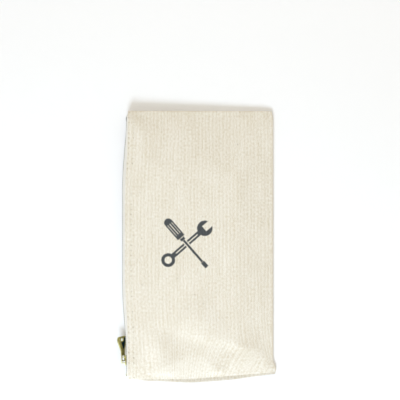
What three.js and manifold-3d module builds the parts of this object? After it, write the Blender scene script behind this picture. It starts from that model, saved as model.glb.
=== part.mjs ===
// A zippered canvas tool bag, lying flat and empty on its back panel.
// Millimetres, +Z up. X runs from the zip mouth (-X) to the bottom fold (+X), and Y along the zip.
// The origin is the middle of the back panel's resting face.
import * as THREE from "three";
import { mergeVertices } from "three/addons/utils/BufferGeometryUtils.js";
import Module from "manifold-3d";

const wasm = await Module();
wasm.setup();

// Canvas body
const BAG_LENGTH = 318; // along the zip, a 12.5 inch bag
const BAG_DEPTH = 172.5; // from the canvas lips at the mouth to the bottom fold
const FOLD_R = 2.5; // outside radius of the bottom fold
const CANVAS = 0.95; // No. 10 cotton duck
const MID_CROWN = 3.2; // how far the front panel domes above its lip
const CROWN_SPAN = 150; // depth over which that dome rises and falls
const PUFF = 3.5; // extra slack that gathers near the zip's closed end
const PUFF_FROM_END = 67; // from the lower end to the middle of that slack
const PUFF_REACH = 58;
const FOLD_SLOPE = 0.34; // the front panel's slope down to the fold
const END_ROLL = 3; // how far the canvas rolls over into each end seam
const END_SLOPE = 0.16; // the front panel's slope into the upper end seam
const LIP_SLOPE = 0.62; // the same, close to the mouth, where the zip holds the lips apart
const LIP_REACH = 16;
const FACET_SLOPE = 0.31; // the slack facet at the lower end, where it is steepest
const FACET_FROM_FOLD = 57; // from the fold's centre line to that place
const FACET_REACH = 50; // and the distance over which it flattens on both sides of it:
const SLOPE_LOST_TO_LIP = 0.06; // by this much towards the lips
const SLOPE_LOST_TO_FOLD = 0.22; // and by this much towards the fold
const BACK_SLOPE = 0.3; // how the back panel curls up to the end seams
const BACK_ROLL = 2.2;
const LIP_LIFT = 0.6; // the stitched back lip stands this far off the table
const LIP_FLAT = 14; // depth of the lip that stands so
const LIP_EASE = 20; // and the depth over which it comes down
const FOLD_EASE = 25; // depth over which the back panel eases into the fold
const SEAM_GAP = 0.3; // running gap between pieces that are sewn together
const SWING_GAP = 1.2; // room at the mouth for the front panel's last closing swing, 9 mm of zip

// Zip chain
const CHAIN_FROM_LIP = 1.4; // the tapes' plane stands this far out of the lips
const TAPE = 0.7;
const FLAP = 9.5; // tape width sewn under each canvas lip
const LAY_GAP = 0.2; // between the tape and the canvas over it
const TAPE_STAND = 6.5; // from the chain's centre to the tape's flap
const TAPE_KNEE = 5.2; // the tape stays in its plane this far out, for the slider's flanges
const TAPE_FROM_END = 3.5; // from each end of the bag to the tape's tail
const FLAP_FROM_END = 13; // and to where its flap stops
const TAIL_REACH = 5.2; // half width of the tape's narrow tails
const PITCH = 2.5; // of the teeth on one side
const TOOTH = 1.05; // a tooth's width along the chain
const TOOTH_TIP = 0.7; // how far a tooth reaches past the chain's centre
const TOOTH_ROOT = 1.35; // where the teeth meet the clamped bead
const BEAD_OUT = 2.5; // outer edge of the clamped bead
const TOOTH_THICK = 2.2;
const TAPE_GAP = 0.2; // between bead and tape
const CHAIN_FROM_TOP = 12; // from the upper end to the last tooth at the bottom stop
const CHAIN_FROM_LOW = 7.2; // from the lower end to the last tooth at the top stops

// Slider, at its photographed place near the top stops
const SLIDER_FROM_END = 16.5; // from the lower end to the slider's nose
const SLIDER_LENGTH = 11.5;
const TAIL_STRAIGHT = 2.4;
const NOSE_STRAIGHT = 4.2;
const NOSE_CORNER = 1.4;
const NECK_EASE = 1.8; // how gently the rims draw in between nose and tail
const NOSE_HALF = 4.9;
const TAIL_HALF = 3.4;
const PLATE = 0.85;
const CHANNEL = 2.6; // clear height between the plates
const FLANGE = 0.5; // wall of the rolled rims
const SLOT = 1.5; // gap between the rims, which the tape runs through
const SPREAD = 1.6; // how far the slider's nose parts each row of teeth
const OPEN_SPREAD = 1.35; // the same at the top stops
const POST_HALF = 0.5;
const POST_LENGTH = 3.5;
const CROWN_WIDTH = 1.7;
const CROWN_CLEAR = 4.1; // window under the crown, for the pull tab's eye
const PIVOT_CLEAR = 2.35; // from the slider's plate to the tab's pivot
const CROWN_WALL = 0.8;
const CROWN_FROM_NOSE = 1.9;
const CROWN_LENGTH = 7.7;

// Pull tab
const TAB_LENGTH = 29.5;
const TAB_THICK = 1;
const EYE_BAR = 1;
const EYE_LENGTH = 6.2;
const EYE_WIDTH = 3.6;
const EYE_SIDE = 0.85;
const EYE_EASE = 2.5; // how gently the eye draws in to the waist
const TAB_WAIST = 5.6;
const TAB_WAIST_AT = 11.5;
const TAB_END = 14.5;
const TAB_CORNER = 3.4;
const TAB_HOLE_R = 1.9;
const TAB_HOLE_AT = 3.9; // from the tab's far end
const TAB_TILT = 4.5; // degrees off the chain
const TAB_TWIST = 42; // degrees about its own length, as it hangs loose
const PIVOT_FROM_NOSE = 4.9;

// Stops
const BOTTOM_STOP = 4.5;
const BOTTOM_STOP_HALF = 2.6;
const TOP_STOP = 3;
const TOP_STOP_WIDTH = 2.2;
const STOP_WALL = 0.75;
const STOP_SLOT = 1.4;
const STOP_WEB = 0.7;

// Seams and threads
const ALLOWANCE = 9.5; // turned-in seam allowance at each end
const ALLOWANCE_INSET = 1.8;
const ALLOWANCE_FROM_LIP = 12;
const ALLOWANCE_FROM_FOLD = 6;
const OVERLOCK = 3.4; // width of the overlocked edge
const OVERLOCK_WALL = 0.35;
const THREAD = 0.45;
const THREAD_GAP = 0.12;
const STITCH_ROWS = [3.6, 9]; // from the lip's edge
const STITCH_FROM_END = 12; // the stitching stops this far from each end

const HALF = BAG_LENGTH / 2;
const LIP_X = (FOLD_R - BAG_DEPTH) / 2;
const FOLD_X = LIP_X + BAG_DEPTH - FOLD_R; // centre line of the bottom fold
const CHAIN_X = LIP_X - CHAIN_FROM_LIP;
const ALLOWANCE_X = [LIP_X + ALLOWANCE_FROM_LIP, FOLD_X - ALLOWANCE_FROM_FOLD];
const CHAIN_TOP_Y = HALF - CHAIN_FROM_TOP;
const CHAIN_END_Y = CHAIN_FROM_LOW - HALF;
const SLIDER_NOSE_Y = SLIDER_FROM_END - HALF;
const SLIDER_TAIL_Y = SLIDER_NOSE_Y + SLIDER_LENGTH;
const LIP_HALF = TAPE_STAND + TAPE + LAY_GAP + CANVAS;
const MID_Z = LIP_LIFT + LIP_HALF; // height of the chain's centre
const LIP_Z = MID_Z + LIP_HALF; // outside of the front lip

const clamp01 = (t) => Math.min(1, Math.max(0, t));
const smoothstep = (a, b, x) => {
  const t = clamp01((x - a) / (b - a));
  return t * t * (3 - 2 * t);
};
const softMin = (a, b, k) => {
  const h = Math.max(k - Math.abs(a - b), 0) / k;
  return Math.min(a, b) - (h * h * k) / 4;
};
const softMax = (a, b, k) => -softMin(-a, -b, k);
const bell = (d, reach) => Math.exp(-((d / reach) ** 2));

// Height of the end seams' line, from the mouth's middle down to the fold's
const seamZ = (x) => THREE.MathUtils.mapLinear(x, LIP_X, FOLD_X, MID_Z, FOLD_R);
// The canvas rolls out of a seam as a quarter ellipse
const roll = (s, height) => height * Math.sqrt(1 - (1 - clamp01(s / END_ROLL)) ** 2);
const nearLip = (x) => bell(x - LIP_X, LIP_REACH);
const foldR = (y) => FOLD_R * (1 - 0.45 * bell(HALF - Math.abs(y), 7));

// Outside of the front panel: the lowest of a dome, the slope to the fold, the slack facet at the
// lower end and the slope into the upper end seam, each met softly
function frontZ(x, y) {
  const fromEnd = y + HALF;
  const toEnd = HALF - y;
  const across = clamp01((x - LIP_X) / CROWN_SPAN);
  const puff = PUFF * bell(y + HALF - PUFF_FROM_END, PUFF_REACH);
  const dome = LIP_Z + (MID_CROWN + puff) * Math.sin(Math.PI * across);
  const fold = FOLD_R + foldR(y) + FOLD_SLOPE * (FOLD_X - x);
  const aside = (x - FOLD_X + FACET_FROM_FOLD) / FACET_REACH;
  const facet = FACET_SLOPE - (aside < 0 ? SLOPE_LOST_TO_LIP : SLOPE_LOST_TO_FOLD) * aside ** 2;
  const lower = facet + (LIP_SLOPE - facet) * nearLip(x);
  const upper = END_SLOPE + (LIP_SLOPE - END_SLOPE) * nearLip(x);
  const ends = Math.min(
    seamZ(x) + roll(fromEnd, END_ROLL) + lower * fromEnd,
    seamZ(x) + roll(toEnd, END_ROLL) + upper * toEnd,
  );
  return softMin(softMin(dome, ends, 3), fold, 2.5);
}

// Outside of the back panel: the table, with the ends curled up to the seams and the lip just off it
function backZ(x, y) {
  const s = HALF - Math.abs(y);
  const slope = BACK_SLOPE + (LIP_SLOPE - BACK_SLOPE) * nearLip(x);
  const end = seamZ(x) - roll(s, BACK_ROLL) - slope * s;
  const lip = LIP_LIFT * (1 - smoothstep(LIP_FLAT, LIP_FLAT + LIP_EASE, x - LIP_X));
  const fold = (FOLD_R - foldR(y)) * smoothstep(FOLD_X - FOLD_EASE, FOLD_X, x);
  return Math.max(lip, fold, softMax(0, end, 1.2));
}

// The canvas's thickness measured upright, on the slope of a height field
function upright(height, x, y) {
  const d = 0.5;
  const alongX = (height(x + d, y) - height(x - d, y)) / (2 * d);
  const alongY = (height(x, y + d) - height(x, y - d)) / (2 * d);
  return CANVAS * Math.min(1.6, Math.hypot(1, alongX, alongY));
}

// A closed solid between two grids of points of the same size
function sheetSolid(outer, inner) {
  const rows = outer.length;
  const columns = outer[0].length;
  const positions = [...outer.flat(), ...inner.flat()].flat();
  const at = (side, i, j) => side * rows * columns + i * columns + j;
  const index = [];
  const quad = (a, b, c, d) => index.push(a, b, c, a, c, d);
  for (let i = 0; i + 1 < rows; i++)
    for (let j = 0; j + 1 < columns; j++) {
      quad(at(0, i, j), at(0, i + 1, j), at(0, i + 1, j + 1), at(0, i, j + 1));
      quad(at(1, i, j), at(1, i, j + 1), at(1, i + 1, j + 1), at(1, i + 1, j));
    }
  for (let i = 0; i + 1 < rows; i++) {
    quad(at(0, i, 0), at(1, i, 0), at(1, i + 1, 0), at(0, i + 1, 0));
    const last = columns - 1;
    quad(at(0, i, last), at(0, i + 1, last), at(1, i + 1, last), at(1, i, last));
  }
  for (let j = 0; j + 1 < columns; j++) {
    quad(at(0, 0, j), at(0, 0, j + 1), at(1, 0, j + 1), at(1, 0, j));
    const last = rows - 1;
    quad(at(0, last, j), at(1, last, j), at(1, last, j + 1), at(0, last, j + 1));
  }
  const g = new THREE.BufferGeometry();
  g.setAttribute("position", new THREE.Float32BufferAttribute(positions, 3));
  g.setIndex(index);
  return facingOut(g);
}

function facingOut(geometry) {
  const p = geometry.getAttribute("position");
  const index = geometry.index.array;
  const [a, b, c] = [0, 1, 2].map(() => new THREE.Vector3());
  let volume = 0;
  for (let i = 0; i < index.length; i += 3) {
    a.fromBufferAttribute(p, index[i]);
    b.fromBufferAttribute(p, index[i + 1]);
    c.fromBufferAttribute(p, index[i + 2]);
    volume += a.dot(b.cross(c));
  }
  if (volume < 0) index.reverse();
  return geometry;
}

const rounded = (v) => Math.round(v * 1000) / 1000;

// Grid stations: even steps over the middle, closer ones near both ends
function stations(from, to, close, steps) {
  const low = close.map((d) => from + d);
  const high = close.map((d) => to - d).reverse();
  const [a, b] = [low.at(-1), high[0]];
  const middle = Array.from({ length: steps - 1 }, (_, i) => a + ((b - a) * (i + 1)) / steps);
  return [...low, ...middle, ...high].map(rounded);
}

const EDGE_Y = HALF - SEAM_GAP;
const END_STEPS = [0, 0.3, 0.9, 2.3, 4.2, 6.7].map((n) => n * END_ROLL);
const YS = stations(-EDGE_Y, EDGE_Y, END_STEPS, 14);
const LIP_STEPS = [0, ...STITCH_ROWS, LIP_FLAT + CROWN_WALL]; // columns that the stitching lies along
const XS = stations(LIP_X, FOLD_X - SEAM_GAP, LIP_STEPS, 11);

function frontPanel() {
  const swing = (x) => SEAM_GAP + (SWING_GAP * (FOLD_X - x)) / (FOLD_X - LIP_X);
  const floor = (x, y) => (Math.abs(y) > HALF - END_ROLL ? seamZ(x) + swing(x) : -Infinity);
  const under = (x, y) => Math.max(frontZ(x, y) - upright(frontZ, x, y), floor(x, y));
  const over = (x, y) => Math.max(frontZ(x, y), under(x, y) + CANVAS);
  const inner = XS.map((x) => YS.map((y) => [x, y, under(x, y)]));
  const outer = XS.map((x) => YS.map((y) => [x, y, over(x, y)]));
  return sheetSolid(outer, inner);
}

function backPanel() {
  const ceiling = (x, y) => (Math.abs(y) > HALF - END_ROLL ? seamZ(x) - SEAM_GAP : Infinity);
  const turn = Array.from({ length: 6 }, (_, i) => THREE.MathUtils.degToRad(-90 + 32 * i));
  const xs = stations(LIP_X, FOLD_X, LIP_STEPS, 11).slice(0, -1);
  const over = (x, y) => Math.min(backZ(x, y) + upright(backZ, x, y), ceiling(x, y));
  const under = (x, y) => Math.min(backZ(x, y), over(x, y) - CANVAS);
  const inner = xs.map((x) => YS.map((y) => [x, y, over(x, y)]));
  const outer = xs.map((x) => YS.map((y) => [x, y, under(x, y)]));
  const around = (a, y, r) => [FOLD_X + r * Math.cos(a), y, FOLD_R + r * Math.sin(a)];
  for (const a of turn) {
    outer.push(YS.map((y) => around(a, y, foldR(y))));
    inner.push(YS.map((y) => around(a, y, foldR(y) - CANVAS)));
  }
  return sheetSolid(outer, inner);
}

// manifold-3d solids to and from geometries
function solid(geometry) {
  const g = geometry.clone();
  g.deleteAttribute("normal");
  g.deleteAttribute("uv");
  const merged = mergeVertices(g, 1e-4);
  return new wasm.Manifold(
    new wasm.Mesh({
      numProp: 3,
      vertProperties: merged.getAttribute("position").array,
      triVerts: new Uint32Array(merged.index.array),
    }),
  );
}

function geometryOf(manifold) {
  const mesh = manifold.getMesh();
  const g = new THREE.BufferGeometry();
  g.setAttribute("position", new THREE.BufferAttribute(new Float32Array(mesh.vertProperties), 3));
  g.setIndex(new THREE.BufferAttribute(new Uint32Array(mesh.triVerts), 1));
  return g;
}

// Axes for sections: a shape drawn in two of the object's axes and given thickness along the third
const ALONG_Y = new THREE.Matrix4().makeBasis(
  new THREE.Vector3(1, 0, 0),
  new THREE.Vector3(0, 0, 1),
  new THREE.Vector3(0, -1, 0),
);
const ALONG_X = new THREE.Matrix4().makeBasis(
  new THREE.Vector3(0, 1, 0),
  new THREE.Vector3(0, 0, 1),
  new THREE.Vector3(1, 0, 0),
);

const shapeOf = (points) => new THREE.Shape(points.map(([a, b]) => new THREE.Vector2(a, b)));

function slab(shape, from, to, basis, curveSegments = 6) {
  const g = new THREE.ExtrudeGeometry(shape, { depth: to - from, bevelEnabled: false, curveSegments });
  return g.translate(0, 0, from).applyMatrix4(basis);
}

const sectionAlongY = (shape, y0, y1) => slab(shape, -y1, -y0, ALONG_Y);
const plateAcrossX = (shape, x0, x1, segments) => slab(shape, x0, x1, ALONG_X, segments);

function box([x0, x1], [y0, y1], [z0, z1]) {
  const g = new THREE.BoxGeometry(x1 - x0, y1 - y0, z1 - z0);
  return g.translate((x0 + x1) / 2, (y0 + y1) / 2, (z0 + z1) / 2);
}

// How far a row of teeth stands off its meshed place: parted by the slider's nose, then by the open mouth
function spread(y) {
  const nose = smoothstep(SLIDER_TAIL_Y - 3, SLIDER_NOSE_Y + 1, y);
  const open = smoothstep(SLIDER_NOSE_Y - 1, CHAIN_END_Y, y);
  return SPREAD * nose + (OPEN_SPREAD - SPREAD) * open;
}

// side is +1 for the front row and -1 for the back row
function teethRow(side) {
  const shift = side > 0 ? 0 : PITCH / 2;
  const z = (y, out) => MID_Z + side * (out + spread(y));
  const comb = [];
  const back = [];
  for (let y = CHAIN_TOP_Y - shift; y - TOOTH > CHAIN_END_Y; y -= PITCH) {
    const [a, b] = [y, y - TOOTH];
    const middle = (a + b) / 2;
    const tip = z(middle, -TOOTH_TIP);
    comb.push([a, z(a, TOOTH_ROOT)], [a, tip], [b, tip], [b, z(b, TOOTH_ROOT)]);
    back.unshift(b);
  }
  const edge = [...back.filter((y, i) => y < SLIDER_TAIL_Y || i === back.length - 1), CHAIN_TOP_Y - shift];
  comb.push(...edge.map((y) => [y, z(y, BEAD_OUT)]));
  return plateAcrossX(shapeOf(comb), CHAIN_X - TOOTH_THICK / 2, CHAIN_X + TOOTH_THICK / 2);
}

// What a tape keeps clear of: its row of teeth, and past the chain only the middle
function chainRoom(side) {
  const far = HALF;
  const at = (y, out) => [y, MID_Z + side * out];
  const rowEdge = (y) => at(y, BEAD_OUT + spread(y) + TAPE_GAP);
  const past = STOP_WEB / 2 + TAPE_GAP + SWING_GAP;
  const topStopEdge = OPEN_SPREAD + STOP_WEB + TAPE_GAP;
  const parted = CHAIN_END_Y - SLIDER_TAIL_Y;
  const steps = Array.from({ length: 13 }, (_, i) => SLIDER_TAIL_Y + (parted * i) / 12);
  const outline = [
    at(far, -far),
    at(far, past),
    at(CHAIN_TOP_Y + TAPE_GAP, past),
    rowEdge(CHAIN_TOP_Y + TAPE_GAP),
    ...steps.map(rowEdge),
    rowEdge(CHAIN_END_Y - TAPE_GAP),
    at(CHAIN_END_Y - TAPE_GAP, topStopEdge),
    at(-far, topStopEdge),
    at(-far, -far),
  ];
  return solid(plateAcrossX(shapeOf(outline), CHAIN_X - 3, CHAIN_X + 3));
}

function zipTape(side) {
  const t = TAPE / 2;
  const z = (out) => MID_Z + side * out;
  const flap = TAPE_STAND + t;
  const bend = LIP_X + 0.9;
  const shape = shapeOf([
    [CHAIN_X - t, z(0.2)],
    [CHAIN_X - t, z(TAPE_KNEE + 0.2)],
    [bend - 0.5, z(flap + t)],
    [LIP_X + FLAP, z(flap + t)],
    [LIP_X + FLAP, z(flap - t)],
    [bend, z(flap - t)],
    [CHAIN_X + t, z(TAPE_KNEE)],
    [CHAIN_X + t, z(0.2)],
  ]);
  const body = solid(sectionAlongY(shape, FLAP_FROM_END - HALF, HALF - FLAP_FROM_END));
  const across = [z(0.2), z(TAIL_REACH)].sort((a, b) => a - b);
  const tail = solid(box([CHAIN_X - t, CHAIN_X + t], [TAPE_FROM_END - HALF, HALF - TAPE_FROM_END], across));
  return geometryOf(body.add(tail).subtract(chainRoom(side)));
}

function sliderOutline(inset) {
  const nose = NOSE_HALF - inset;
  const tail = TAIL_HALF - inset;
  const corner = NOSE_CORNER - inset;
  const noseEnd = SLIDER_NOSE_Y + inset;
  const tailEnd = SLIDER_TAIL_Y - inset;
  const neckFrom = SLIDER_NOSE_Y + NOSE_STRAIGHT;
  const neckTo = SLIDER_TAIL_Y - TAIL_STRAIGHT;
  const shape = new THREE.Shape();
  shape.moveTo(noseEnd, -nose + corner);
  shape.quadraticCurveTo(noseEnd, -nose, noseEnd + corner, -nose);
  shape.lineTo(neckFrom, -nose);
  shape.bezierCurveTo(neckFrom + NECK_EASE, -nose, neckTo - NECK_EASE, -tail, neckTo, -tail);
  shape.lineTo(tailEnd, -tail);
  shape.lineTo(tailEnd, tail);
  shape.lineTo(neckTo, tail);
  shape.bezierCurveTo(neckTo - NECK_EASE, tail, neckFrom + NECK_EASE, nose, neckFrom, nose);
  shape.lineTo(noseEnd + corner, nose);
  shape.quadraticCurveTo(noseEnd, nose, noseEnd, nose - corner);
  shape.closePath();
  return shape;
}

const atMid = (geometry) => geometry.translate(0, 0, MID_Z);

function sliderBody() {
  const outer = CHANNEL / 2 + PLATE;
  const block = solid(atMid(plateAcrossX(sliderOutline(0), CHAIN_X - outer, CHAIN_X + outer)));
  // the channel between the rims is open at the nose and the tail
  const across = (width) => [CHAIN_X - width / 2, CHAIN_X + width / 2];
  const aboutMid = (half) => [MID_Z - half, MID_Z + half];
  const channel = solid(atMid(plateAcrossX(sliderOutline(FLANGE), ...across(CHANNEL))));
  const tailSpan = [SLIDER_TAIL_Y - TAIL_STRAIGHT, SLIDER_TAIL_Y + 1];
  const tailWay = solid(box(across(CHANNEL), tailSpan, aboutMid(TAIL_HALF - FLANGE)));
  const noseSpan = [SLIDER_NOSE_Y - 1, SLIDER_NOSE_Y + NOSE_STRAIGHT];
  const noseWay = solid(box(across(CHANNEL), noseSpan, aboutMid(NOSE_HALF - FLANGE)));
  const slot = solid(box(across(SLOT), [SLIDER_NOSE_Y - 1, SLIDER_TAIL_Y + 1], aboutMid(2 * NOSE_HALF)));
  const post = solid(
    atMid(
      plateAcrossX(
        shapeOf([
          [SLIDER_NOSE_Y + 0.2, -POST_HALF],
          [SLIDER_NOSE_Y + POST_LENGTH / 2, -POST_HALF],
          [SLIDER_NOSE_Y + POST_LENGTH, 0],
          [SLIDER_NOSE_Y + POST_LENGTH / 2, POST_HALF],
          [SLIDER_NOSE_Y + 0.2, POST_HALF],
        ]),
        CHAIN_X - outer,
        CHAIN_X + outer,
      ),
    ),
  );
  const hollow = [channel, tailWay, noseWay, slot].reduce((left, cut) => left.subtract(cut), block);
  return geometryOf(hollow.add(post).add(crown()));
}

// The arch on the slider's outside that the pull tab's eye runs in
function crown() {
  const base = CHAIN_X - CHANNEL / 2 - PLATE;
  const top = base - CROWN_CLEAR - CROWN_WALL;
  const inside = base - CROWN_CLEAR;
  const from = SLIDER_NOSE_Y + CROWN_FROM_NOSE;
  const to = from + CROWN_LENGTH;
  const corner = 1.5 * CROWN_WALL;
  const arch = new THREE.Shape();
  arch.moveTo(base + 0.3, from);
  arch.lineTo(top + corner, from);
  arch.quadraticCurveTo(top, from, top, from + corner);
  arch.lineTo(top, to - corner);
  arch.quadraticCurveTo(top, to, top + corner, to);
  arch.lineTo(base + 0.3, to);
  arch.lineTo(base + 0.3, to - CROWN_WALL);
  arch.lineTo(inside, to - CROWN_WALL);
  arch.lineTo(inside, from + CROWN_WALL);
  arch.lineTo(base + 0.3, from + CROWN_WALL);
  arch.closePath();
  const g = new THREE.ExtrudeGeometry(arch, { depth: CROWN_WIDTH, bevelEnabled: false, curveSegments: 4 });
  return solid(g.translate(0, 0, MID_Z - CROWN_WIDTH / 2));
}

// Drawn flat: its length along Y from the pivot, its width along Z, its thickness along X
function pullTab() {
  const eye = EYE_WIDTH / 2 + EYE_SIDE;
  const start = -EYE_BAR / 2;
  const end = TAB_LENGTH + start;
  const corner = TAB_CORNER;
  const [eyeEase, waistEase] = [EYE_LENGTH + EYE_EASE, TAB_WAIST_AT - EYE_EASE];
  const outline = new THREE.Shape();
  outline.moveTo(start, -eye + 0.8);
  outline.lineTo(start, eye - 0.8);
  outline.quadraticCurveTo(start, eye, start + 0.8, eye);
  outline.lineTo(EYE_LENGTH, eye);
  outline.bezierCurveTo(eyeEase, eye, waistEase, TAB_WAIST / 2, TAB_WAIST_AT, TAB_WAIST / 2);
  outline.lineTo(end - corner - 1, TAB_END / 2);
  outline.quadraticCurveTo(end, TAB_END / 2, end, TAB_END / 2 - corner);
  outline.lineTo(end, -TAB_END / 2 + corner);
  outline.quadraticCurveTo(end, -TAB_END / 2, end - corner - 1, -TAB_END / 2);
  outline.lineTo(TAB_WAIST_AT, -TAB_WAIST / 2);
  outline.bezierCurveTo(waistEase, -TAB_WAIST / 2, eyeEase, -eye, EYE_LENGTH, -eye);
  outline.lineTo(start + 0.8, -eye);
  outline.quadraticCurveTo(start, -eye, start, -eye + 0.8);
  const window = shapeOf([
    [EYE_BAR / 2, -EYE_WIDTH / 2],
    [EYE_LENGTH, -EYE_WIDTH / 2],
    [EYE_LENGTH, EYE_WIDTH / 2],
    [EYE_BAR / 2, EYE_WIDTH / 2],
  ]);
  const hole = new THREE.Path();
  hole.absarc(end - TAB_HOLE_AT, 0, TAB_HOLE_R, 0, 2 * Math.PI, false);
  outline.holes.push(window, hole);
  return plateAcrossX(outline, -TAB_THICK / 2, TAB_THICK / 2, 5);
}

// A stop is two plates joined by a web, so that each tape slides in from its own side
function stop(y0, y1, z0, z1, web) {
  const outer = STOP_SLOT / 2 + STOP_WALL;
  const body = solid(box([CHAIN_X - outer, CHAIN_X + outer], [y0, y1], [z0, z1]));
  const slots = [
    [z0 - 1, web[0]],
    [web[1], z1 + 1],
  ].map((z) => solid(box([CHAIN_X - STOP_SLOT / 2, CHAIN_X + STOP_SLOT / 2], [y0 - 1, y1 + 1], z)));
  return slots.reduce((left, cut) => left.subtract(cut), body);
}

function bottomStop() {
  const y = CHAIN_TOP_Y + 2 * TAPE_GAP;
  const web = [MID_Z - STOP_WEB / 2, MID_Z + STOP_WEB / 2];
  return geometryOf(stop(y, y + BOTTOM_STOP, MID_Z - BOTTOM_STOP_HALF, MID_Z + BOTTOM_STOP_HALF, web));
}

function topStop(side) {
  const y = CHAIN_END_Y - 2 * TAPE_GAP;
  const inner = MID_Z + side * OPEN_SPREAD;
  const webEdge = inner + side * STOP_WEB;
  const outer = inner + side * TOP_STOP_WIDTH;
  const sorted = (a, b) => [Math.min(a, b), Math.max(a, b)];
  const [z0, z1] = sorted(inner, outer);
  return geometryOf(stop(y - TOP_STOP, y, z0, z1, sorted(inner, webEdge)));
}

// A strip that follows the end seams' line: rows of sections from low x to high x
function seamStrip(section, xs = ALLOWANCE_X) {
  const grid = (side) => xs.map((x) => section[side].map(([y, z]) => [x, y, seamZ(x) + z]));
  return sheetSolid(grid("top"), grid("under"));
}

// The two turned-in plies of one end seam; end is +1 or -1 along Y
function endSeam(end) {
  const ys = [HALF - ALLOWANCE_INSET, HALF - ALLOWANCE_INSET - ALLOWANCE].map((y) => end * y);
  return seamStrip({ top: ys.map((y) => [y, CANVAS - 0.1]), under: ys.map((y) => [y, -CANVAS + 0.1]) });
}

// The thread that wraps the allowance's raw edge
function overlock(end) {
  const edge = HALF - ALLOWANCE_INSET - ALLOWANCE;
  const gap = 0.15;
  const half = CANVAS - 0.1 + gap;
  const strip = (from, to, z) =>
    solid(
      seamStrip({ top: [from, to].map((y) => [end * y, z]), under: [from, to].map((y) => [end * y, -z]) }, [
        ALLOWANCE_X[0] + 0.5,
        ALLOWANCE_X[1] - 0.5,
      ]),
    );
  const sheath = strip(edge + OVERLOCK, edge - gap - OVERLOCK_WALL, half + OVERLOCK_WALL);
  const inside = (z) => [HALF, edge - gap].map((y) => [end * y, z]);
  const bore = solid(seamStrip({ top: inside(half), under: inside(-half) }, [LIP_X, FOLD_X]));
  return geometryOf(sheath.subtract(bore));
}

// The continuous top thread of one row of stitching, lying on its panel
function stitching(side, fromLip) {
  const x = LIP_X + fromLip;
  const height = side > 0 ? frontZ : backZ;
  const ys = YS.filter((y) => Math.abs(y) < HALF - STITCH_FROM_END);
  const edges = [x - THREAD / 2, x + THREAD / 2];
  const line = (out) => ys.map((y) => edges.map((edge) => [edge, y, height(x, y) + side * out]));
  return sheetSolid(line(THREAD_GAP + THREAD * 0.8), line(THREAD_GAP));
}

const finish = {
  canvas: new THREE.MeshStandardMaterial({ color: "#e6dfcb", roughness: 0.95, metalness: 0 }),
  tape: new THREE.MeshStandardMaterial({ color: "#eae6d6", roughness: 0.9, metalness: 0 }),
  thread: new THREE.MeshStandardMaterial({ color: "#f1eee2", roughness: 0.8, metalness: 0 }),
  brass: new THREE.MeshStandardMaterial({ color: "#b9a869", roughness: 0.35, metalness: 1 }),
};

const bag = new THREE.Group();

function add(name, geometry, material, parent = bag) {
  const mesh = new THREE.Mesh(geometry, material);
  mesh.name = name;
  parent.add(mesh);
  return mesh;
}

add("back_panel", backPanel(), finish.canvas);
add("front_panel", frontPanel(), finish.canvas);
for (const [name, side] of [
  ["front", 1],
  ["back", -1],
]) {
  add(`${name}_tape`, zipTape(side), finish.tape);
  add(`${name}_teeth`, teethRow(side), finish.brass);
  add(`${name}_top_stop`, topStop(side), finish.brass);
  add(`${name}_outer_stitching`, stitching(side, STITCH_ROWS[0]), finish.thread);
  add(`${name}_inner_stitching`, stitching(side, STITCH_ROWS[1]), finish.thread);
}
add("bottom_stop", bottomStop(), finish.brass);
add("slider_body", sliderBody(), finish.brass);
for (const [name, end] of [
  ["upper", 1],
  ["lower", -1],
]) {
  add(`${name}_end_seam`, endSeam(end), finish.canvas);
  add(`${name}_seam_overlock`, overlock(end), finish.thread);
}

// The tab hangs from its eye's bar under the crown, leaning off the chain and twisted about its length
const pivot = new THREE.Group();
pivot.position.set(CHAIN_X - CHANNEL / 2 - PLATE - PIVOT_CLEAR, SLIDER_NOSE_Y + PIVOT_FROM_NOSE, MID_Z);
pivot.rotation.z = THREE.MathUtils.degToRad(TAB_TILT);
bag.add(pivot);
const tab = add("pull_tab", pullTab(), finish.brass, pivot);
tab.rotation.y = THREE.MathUtils.degToRad(-TAB_TWIST);

export default bag;
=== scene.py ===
# %% [markdown]
# # A zippered canvas tool bag
# A flat bag of unbleached cotton duck lies on its back, with a brass zip down its left edge. The camera
# looks straight down on it. The bag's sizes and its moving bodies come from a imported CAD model, and this
# script dresses them: cloth, thread, tape and brass, worked out with numpy and shaded with nodes.

# %% Load the frame
import bmesh
import bpy
import numpy as np
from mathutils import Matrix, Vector


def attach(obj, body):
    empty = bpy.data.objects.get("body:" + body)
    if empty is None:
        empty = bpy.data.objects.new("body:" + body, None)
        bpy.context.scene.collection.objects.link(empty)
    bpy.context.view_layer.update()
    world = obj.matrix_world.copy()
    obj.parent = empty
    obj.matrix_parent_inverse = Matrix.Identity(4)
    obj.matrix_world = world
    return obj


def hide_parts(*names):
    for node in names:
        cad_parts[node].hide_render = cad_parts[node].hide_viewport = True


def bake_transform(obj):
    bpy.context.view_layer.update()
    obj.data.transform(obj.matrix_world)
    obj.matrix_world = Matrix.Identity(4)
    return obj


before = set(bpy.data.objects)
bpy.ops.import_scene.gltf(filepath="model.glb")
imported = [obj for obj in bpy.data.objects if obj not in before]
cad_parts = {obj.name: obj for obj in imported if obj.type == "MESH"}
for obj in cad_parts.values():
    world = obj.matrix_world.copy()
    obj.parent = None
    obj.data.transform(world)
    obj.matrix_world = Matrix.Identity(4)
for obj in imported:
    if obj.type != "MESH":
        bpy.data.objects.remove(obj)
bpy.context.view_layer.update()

# %% [markdown]
# ## The camera
# A product photographer hangs the camera over the table and steps back with a long lens, so that the bag's
# sides stay parallel. One pixel of the 400 by 400 picture covers 1.185 mm of the bag, which sets the height.

# %% The camera
MM = 0.001
PIXEL = 1.185 * MM
LENS, SENSOR = 85, 36
scene = bpy.context.scene


def placed(name, data):
    """An object with that data, put into the scene."""
    made = bpy.data.objects.new(name, data)
    scene.collection.objects.link(made)
    return made


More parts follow.
